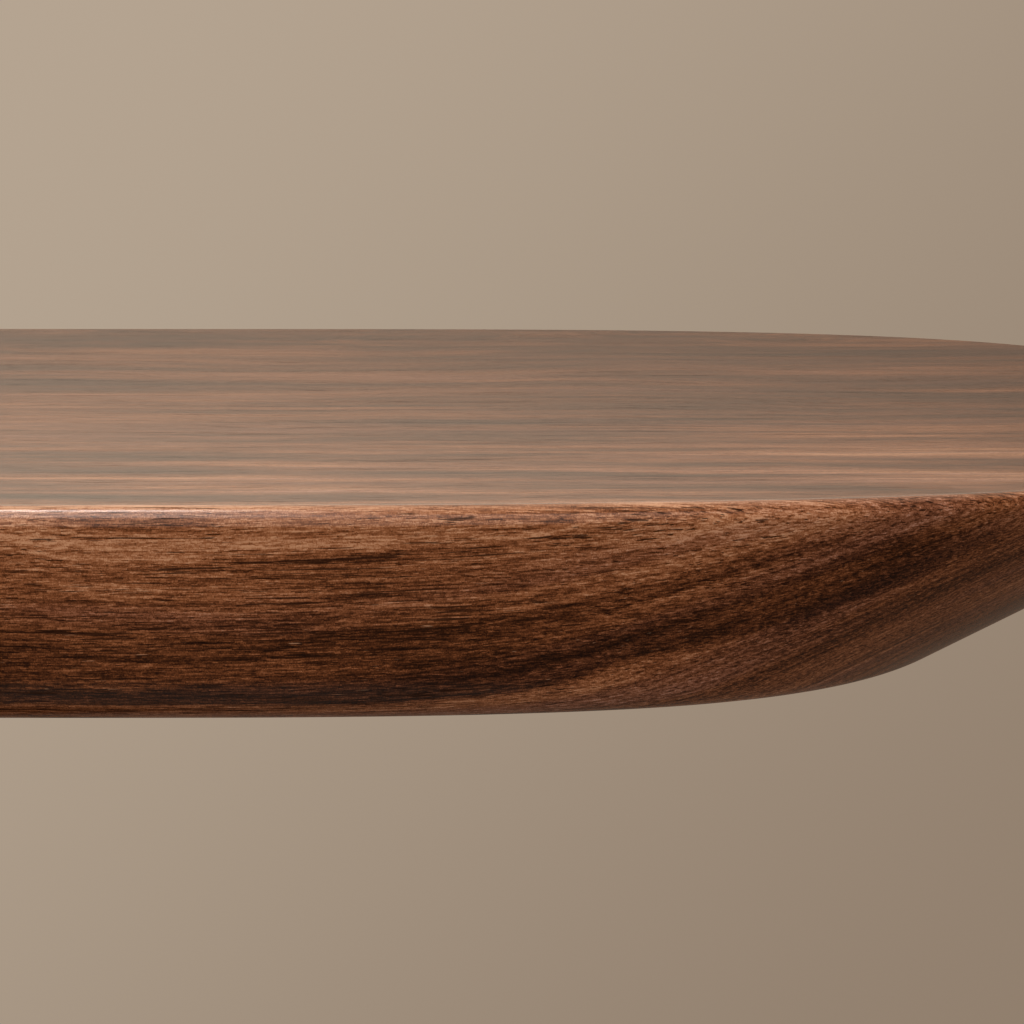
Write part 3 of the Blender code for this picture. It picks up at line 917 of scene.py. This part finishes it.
def add_turned(bm, profile, hollow=False, segments=RING_POINTS):
    """Joins rings of (radius, height, shape) in turn. A hollow piece joins its last to its first."""
    rings = []
    for radius, z, *shape in profile:
        ring = []
        for k in range(segments):
            turn = 2 * math.pi * k / segments
            reach = radius * shape[0](turn) if shape else radius
            ring.append(bm.verts.new((reach * math.cos(turn), reach * math.sin(turn), z)))
        rings.append(ring)
    pairs = list(zip(rings, rings[1:]))
    if hollow:
        pairs.append((rings[-1], rings[0]))
    for ring, following in pairs:
        for k in range(segments):
            bm.faces.new((ring[k - 1], ring[k], following[k], following[k - 1]))
    if not hollow:
        bm.faces.new(rings[0])
        bm.faces.new(rings[-1])


print("points in a plain ring:", RING_POINTS)


# %% Rounded edges of a profile
def arc(centre_radius, centre_z, radius, start, end, steps=6):
    """Part of a turned profile: a rounded edge, from one direction to another, in degrees."""
    spots = []
    for k in range(steps + 1):
        angle = math.radians(start + (end - start) * k / steps)
        spots.append((centre_radius + radius * math.cos(angle), centre_z + radius * math.sin(angle)))
    return spots


print("points in a rounded edge:", len(arc(0.0, 0.0, 1.0, 0.0, 90.0)))

# %% A piece in a node's stead
SHARP_METAL = 35.0


def stand_in_for(node, name, bm, material, body):
    """Puts a shape made about its own axis where a node of the frame is, in that node's stead."""
    low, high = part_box(node)
    piece = link_piece(name, bm, material, SHARP_METAL)
    piece.location = ((low.x + high.x) / 2, (low.y + high.y) / 2, low.z)
    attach(piece, body)
    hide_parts(node)
    return piece


CORNERS = [f"{side}_{place}" for side in ("left", "right") for place in ("outer", "front", "back")]
print("places for hardware:", CORNERS)

# %% [markdown]
# ### Bolts
#
# Each bolt has a low button head with a hexagon socket: drawn wire is upset to form the head and the
# socket is punched. The profile starts at the bottom of the socket and runs round the head, so the
# socket is a real hollow and not a dark patch.

# %% Make the bolts
SOCKET_FLATS = 0.0020
SOCKET_DEPTH = 0.0024
HEAD_RADIUS = 0.0055
HEAD_ROUND = 0.0024
HEAD_HEIGHT = 0.0042
SHANK_RADIUS = 0.0030
BROKEN_EDGE = 0.0002
TIP_TAPER = 0.0008
TIP_RADIUS = 0.0023


def hexagon(turn):
    """How far a hexagon reaches beyond its flats in one direction."""
    sixth = math.pi / 3
    return 1.0 / math.cos(turn % sixth - sixth / 2)


for corner in CORNERS:
    low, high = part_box(corner + "_bolt")
    tip = high.z - low.z
    profile = [(SOCKET_FLATS, SOCKET_DEPTH, hexagon), (SOCKET_FLATS, BROKEN_EDGE, hexagon)]
    profile += [(SOCKET_FLATS + BROKEN_EDGE, 0.0, hexagon)]
    profile += arc(HEAD_RADIUS - HEAD_ROUND, HEAD_ROUND, HEAD_ROUND, -90.0, 0.0, 8)
    profile += [(HEAD_RADIUS, HEAD_HEIGHT - BROKEN_EDGE), (HEAD_RADIUS - BROKEN_EDGE, HEAD_HEIGHT)]
    profile += [(SHANK_RADIUS, HEAD_HEIGHT), (SHANK_RADIUS, tip - TIP_TAPER), (TIP_RADIUS, tip)]
    bm = bmesh.new()
    add_turned(bm, profile)
    stand_in_for(corner + "_bolt", corner + "_button_bolt", bm, zinc, "table")
print("bolts:", len(CORNERS))

# %% [markdown]
# ### Washers
#
# A broad washer bridges the slot in the cap, so that the top can move with the seasons. It is
# punched from sheet: the punch draws the edges of one side down into a rounding, and leaves those of
# the other side nearly sharp, so the four corners of its profile get different radii.

# %% Make the washers
WASHER_BORE = 0.0034
BORE_ROUND = 0.0003
RIM_ROUND = 0.0005
SHEARED_ROUND = 0.0002
for corner in CORNERS:
    low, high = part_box(corner + "_washer")
    rim = (high.x - low.x) / 2
    sheared = high.z - low.z - SHEARED_ROUND
    profile = arc(WASHER_BORE + BORE_ROUND, BORE_ROUND, BORE_ROUND, 180.0, 270.0, 3)
    profile += arc(rim - RIM_ROUND, RIM_ROUND, RIM_ROUND, -90.0, 0.0, 4)
    profile += arc(rim - SHEARED_ROUND, sheared, SHEARED_ROUND, 0.0, 90.0, 2)
    profile += arc(WASHER_BORE + SHEARED_ROUND, sheared, SHEARED_ROUND, 90.0, 180.0, 2)
    bm = bmesh.new()
    add_turned(bm, profile, hollow=True)
    stand_in_for(corner + "_washer", corner + "_flat_washer", bm, zinc, "table")
print("washers:", len(CORNERS))

# %% [markdown]
# ### Tee nuts and inserts
#
# The tee nuts are deep-drawn from sheet, which leaves a thin flange with notches and a smooth rim
# round the hole, where the sheet bends down into the barrel. The inserts sit inside the wood of the
# top, where only a hole through the cap could show them, so they keep their shape and turn to brass.

# %% Make the tee nuts
NUT_BORE = 0.0044
NUT_FLANGE = 0.0015
NUT_OVERHANG = 0.0050
NUT_CHAMFER = 0.0003
FLANGE_LOW_ROUND = 0.0004
FLANGE_HIGH_ROUND = 0.0006
MOUTH_ROUND = 0.0016
NOTCHES = 4
NOTCH_DEPTH = 0.17


def notched(turn):
    """A round flange with rounded notches in its rim."""
    return 1.0 - NOTCH_DEPTH * max(math.cos(NOTCHES * turn), 0.0) ** 6


for corner in CORNERS:
    low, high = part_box(corner + "_tee_nut")
    rim = (high.x - low.x) / 2
    top_of_nut = high.z - low.z
    seat = top_of_nut - NUT_FLANGE
    barrel = rim - NUT_OVERHANG
    profile = [(NUT_BORE, NUT_CHAMFER), (NUT_BORE + NUT_CHAMFER, 0.0)]
    profile += [(barrel - NUT_CHAMFER, 0.0), (barrel, NUT_CHAMFER), (barrel, seat)]
    upper_edge = top_of_nut - FLANGE_HIGH_ROUND
    flange = arc(rim - FLANGE_LOW_ROUND, seat + FLANGE_LOW_ROUND, FLANGE_LOW_ROUND, -90.0, 0.0, 3)
    flange += arc(rim - FLANGE_HIGH_ROUND, upper_edge, FLANGE_HIGH_ROUND, 0.0, 90.0, 4)
    profile += [(radius, z, notched) for radius, z in flange]
    profile += arc(NUT_BORE + MOUTH_ROUND, top_of_nut - MOUTH_ROUND, MOUTH_ROUND, 90.0, 180.0, 6)
    bm = bmesh.new()
    add_turned(bm, profile, hollow=True, segments=96)
    stand_in_for(corner + "_tee_nut", corner + "_drawn_tee_nut", bm, zinc, "table")
    bpy.data.objects[corner + "_insert"].data.materials[0] = brass
print("tee nuts:", len(CORNERS))

# %% [markdown]
# ### Levelling feet
#
# A moulded nylon pad, with a hollow under it so that it stands on its rim and a hexagon on top for a
# spanner, is moulded round the end of a threaded steel stem. The thread could be bump in a material,
# but its outline shows as soon as a foot is let down, so it is a real helix: a section with four
# corners climbs round a plain core.

# %% A thread
STEM_CREST = 0.0040
STEM_ROOT = 0.0034
STEM_PITCH = 0.00125
STEM_CHAMFER = 0.0006
CREST_START = 0.44
CREST_END = 0.56
RUN_OUT = 0.15
CORE_OVERLAP = 0.00003


def add_thread(bm, low, high, segments=28):
    """A screw thread between two heights, closed by a plain core with a chamfered end."""
    steps = round((high - low - STEM_PITCH) / STEM_PITCH * segments)
    lines = []
    for k in range(steps + 1):
        turn = 2 * math.pi * k / segments
        climb = low + STEM_PITCH * k / segments
        fade = min(1.0, (steps - k) / segments + RUN_OUT)
        crest = STEM_ROOT + (STEM_CREST - STEM_ROOT) * fade
        section = [(STEM_ROOT, 0.0), (crest, CREST_START), (crest, CREST_END), (STEM_ROOT, 1.0)]
        line = []
        for radius, share in section:
            z = climb + STEM_PITCH * share
            line.append(bm.verts.new((radius * math.cos(turn), radius * math.sin(turn), z)))
        lines.append(line)
    for here, there in zip(lines, lines[1:]):
        for k in range(-1, 3):
            bm.faces.new((here[k], there[k], there[k + 1], here[k + 1]))
    bm.faces.new(lines[0])
    bm.faces.new(lines[-1])
    core = STEM_ROOT + CORE_OVERLAP
    profile = [(core, low), (core, high - STEM_CHAMFER), (core - STEM_CHAMFER, high)]
    add_turned(bm, profile, segments=segments)


print("pitch of the thread:", 1000 * STEM_PITCH, "mm")

# %% Make the feet
PAD_HEIGHT = 0.0077
PAD_HOLLOW = 0.0007
PAD_CORE = 0.0020
PAD_RIM = 0.0037
HOLLOW_SLOPE = 0.0008
PAD_LOW_ROUND = 0.0015
PAD_HIGH_ROUND = 0.0016
PAD_SHOULDER = 0.0036
PAD_DECK = PAD_SHOULDER + PAD_HIGH_ROUND
SPANNER_FLATS = 0.0070
SPANNER_FOOT = 0.0054
SPANNER_CHAMFER = 0.0005
FILLET = 0.0006
FILLET_CENTRE = 0.0086
STEM_HOLE = 0.0044
STEM_IN_PAD = 0.0020
for corner in CORNERS:
    foot = corner + "_foot"
    low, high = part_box(foot)
    rim = (high.x - low.x) / 2
    hollow_edge = rim - PAD_RIM
    profile = [(PAD_CORE, PAD_HOLLOW), (hollow_edge - HOLLOW_SLOPE, PAD_HOLLOW), (hollow_edge, 0.0)]
    profile += arc(rim - PAD_LOW_ROUND, PAD_LOW_ROUND, PAD_LOW_ROUND, -90.0, 0.0)
    profile += arc(rim - PAD_HIGH_ROUND, PAD_SHOULDER, PAD_HIGH_ROUND, 0.0, 90.0)
    profile += arc(FILLET_CENTRE, PAD_DECK + FILLET, FILLET, 270.0, 190.0, 3)[:-1]
    profile += [(SPANNER_FLATS, SPANNER_FOOT, hexagon)]
    profile += [(SPANNER_FLATS, PAD_HEIGHT - SPANNER_CHAMFER, hexagon)]
    profile += [(SPANNER_FLATS - SPANNER_CHAMFER, PAD_HEIGHT, hexagon), (STEM_HOLE, PAD_HEIGHT)]
    bm = bmesh.new()
    add_turned(bm, profile, segments=72)
    stand_in_for(foot, foot + "_pad", bm, nylon, foot)
    bm = bmesh.new()
    add_thread(bm, PAD_HEIGHT - STEM_IN_PAD, high.z - low.z)
    stand_in_for(foot, foot + "_stem", bm, zinc, foot)
print("feet:", len(CORNERS))

# %% [markdown]
# ## The floor
#
# A pale round floor carries the table's shadow. A plane with a hard rim would cut a line across the
# background, so it fades out towards its rim through a mix of its own shader and a clear one, and
# the plain background runs up behind it.

# %% Floor
FLOOR_RADIUS = 1.5
FLOOR_FADE = (0.80, 1.40)
FLOOR_SHADE = (0.385, 0.322, 0.264, 1.0)
FLOOR_PALE = (0.415, 0.350, 0.288, 1.0)
FLOOR_DROP = 0.0002
material, f = new_material("pale_floor")
x, y, z = f.parts(f.node("ShaderNodeTexCoord", output="Object"))
cloud = f.noise(f.vector(x * 2.5, y * 2.5, z), 4.0, 0.6)
speck = f.noise(f.vector(x * 240.0, y * 240.0, z), 2.0)
colour = f.mix(f.between(cloud + speck * 0.35, -0.3, 0.3), FLOOR_SHADE, FLOOR_PALE)
rough = 0.8 + speck * 0.2
plain = f.node("ShaderNodeBsdfPrincipled", None, {"Base Color": colour, "Roughness": rough})
clear = f.node("ShaderNodeBsdfTransparent")
fade = f.between((x * x + y * y) ** 0.5, *FLOOR_FADE)
faded = f.node("ShaderNodeMixShader", None, {0: fade, 1: plain, 2: clear})
f.node("ShaderNodeOutputMaterial", None, {"Surface": faded})
bm = bmesh.new()
bmesh.ops.create_circle(bm, cap_ends=True, radius=FLOOR_RADIUS, segments=96)
floor = link_piece("pale_floor", bm, material)
floor.location.z = -FLOOR_DROP
print("floor radius:", FLOOR_RADIUS)

# %% [markdown]
# ## The studio
#
# A plain warm background, as pale as dry plaster, stands all round. A wall of real geometry would
# throw shadows and get in the way of other views, so the world gives it: for what the camera sees,
# and for reflections, while its share of the light on the table stays small. Reflections see a
# room of their own. It is dim just above the horizon, bright from where a window would begin, brighter
# to the left, and dark towards the front, behind the camera. The lacquer on the top picks that up as a
# soft sheen that falls off towards the end.

# %% World
PLASTER_LIGHT = (0.464, 0.373, 0.285, 1.0)
PLASTER_SHADE = (0.272, 0.203, 0.147, 1.0)
ROOM_BEHIND_CAMERA = (0.018, 0.015, 0.013, 1.0)
AMBIENT = (1.0, 0.93, 0.86, 1.0)
AMBIENT_STRENGTH = 0.30
WINDOW_RISE = (0.115, 0.23)
WINDOW_BRIGHTNESS = 2.75
HORIZON_BRIGHTNESS = 0.08
FLOOR_BRIGHTNESS = 0.90
FRONT_TO_BACK = (-0.35, 0.25)
world = bpy.data.worlds.new("studio")
bpy.context.scene.world = world
world.use_nodes = True
sky = Finish(world.node_tree)
wx, wy, wz = sky.parts(sky.node("ShaderNodeTexCoord", output="Generated"))

# The plaster is palest at the upper left and darkest at the lower right
glow = sky.between(0.53 - wx * 0.95 + (wz + 0.16) * 0.85, 0.0, 1.0)
plaster = sky.mix(glow, PLASTER_SHADE, PLASTER_LIGHT)

# What reflections see
bright = HORIZON_BRIGHTNESS + sky.between(wz, *WINDOW_RISE) * WINDOW_BRIGHTNESS
bright = bright * (1.0 - wx * 0.9) + sky.between(wz, 0.05, -0.05) * FLOOR_BRIGHTNESS
room = sky.mix(1.0, plaster, sky.vector(bright, bright, bright), "MULTIPLY")
mirrored = sky.mix(sky.between(wy, *FRONT_TO_BACK), ROOM_BEHIND_CAMERA, room)

# The background is for rays that are seen, and the ambient light for all others
rays = sky.node("ShaderNodeLightPath").socket.node.outputs
seen = Wire(sky, rays["Is Camera Ray"])
reflected = Wire(sky, rays["Is Glossy Ray"])
through = Wire(sky, rays["Is Transmission Ray"])
shown = sky.math("MINIMUM", seen + reflected + through, 1.0)
view = sky.mix(seen, mirrored, plaster)
backdrop = sky.node("ShaderNodeBackground", None, {"Color": view, "Strength": 1.0})
ambient = sky.node("ShaderNodeBackground", None, {"Color": AMBIENT, "Strength": AMBIENT_STRENGTH})
both = sky.node("ShaderNodeMixShader", None, {0: shown, 1: ambient, 2: backdrop})
sky.node("ShaderNodeOutputWorld", None, {"Surface": both})
print("world nodes:", len(world.node_tree.nodes))

# %% [markdown]
# Three lamps do the rest. A large key lamp in front and above lights the edge of the top evenly. A
# softbox above the near side gives the eased upper edge its highlight, and a narrow strip lamp over
# the middle keeps the upper face from going flat. Broad area lamps are used because a point lamp
# would leave hard shadows and a single hot spot.


# %% Lamps
def soft_lamp(name, place, target, size, power, colour):
    light = bpy.data.lights.new(name, "AREA")
    light.shape = "RECTANGLE"
    light.size, light.size_y = size
    light.energy = power
    light.color = colour
    lamp = bpy.data.objects.new(name, light)
    lamp.location = place
    lamp.rotation_euler = (Vector(target) - Vector(place)).to_track_quat("-Z", "Y").to_euler()
    bpy.context.scene.collection.objects.link(lamp)
    return lamp


WARM_WHITE = (1.0, 0.95, 0.89)
SOFT_WHITE = (1.0, 0.97, 0.95)
lamps = [
    soft_lamp("key_lamp", (0.0, -1.8, 1.9), (0.45, -0.1, 0.75), (2.6, 2.6), 44.0, WARM_WHITE),
    soft_lamp("softbox", (0.10, -0.62, 2.05), (0.10, -0.20, 0.75), (0.70, 0.90), 7.0, SOFT_WHITE),
    soft_lamp("strip_lamp", (0.10, 0.02, 2.10), (0.10, 0.0, 0.75), (0.50, 0.24), 7.0, SOFT_WHITE),
]
print("lamps:", [lamp.name for lamp in lamps])

# %% [markdown]
# The camera stands close to one end, about 5 cm above the top, and looks slightly down along the
# depth of the table. A long lens keeps the two outlines of the top nearly parallel.

# %% Camera
CAMERA_PAST_STRAIGHT = 0.0933
CAMERA_IN_FRONT = 0.3197
CAMERA_ABOVE = 0.0518
CAMERA_DOWN = 9.281
CAMERA_LEFT = 0.234
camera_data = bpy.data.cameras.new("camera")
camera_data.lens = 75.0
camera_data.sensor_width = 36.0
camera_data.clip_start = 0.01
camera = bpy.data.objects.new("camera", camera_data)
camera.location = (STRAIGHT + CAMERA_PAST_STRAIGHT, -HALF_DEPTH - CAMERA_IN_FRONT,
                   top_high.z + CAMERA_ABOVE)
camera.rotation_euler = (math.radians(90.0 - CAMERA_DOWN), 0.0, math.radians(CAMERA_LEFT))
bpy.context.scene.collection.objects.link(camera)
bpy.context.scene.camera = camera
bpy.context.scene.view_settings.view_transform = "Standard"
print("camera at", [round(v, 4) for v in camera.location])
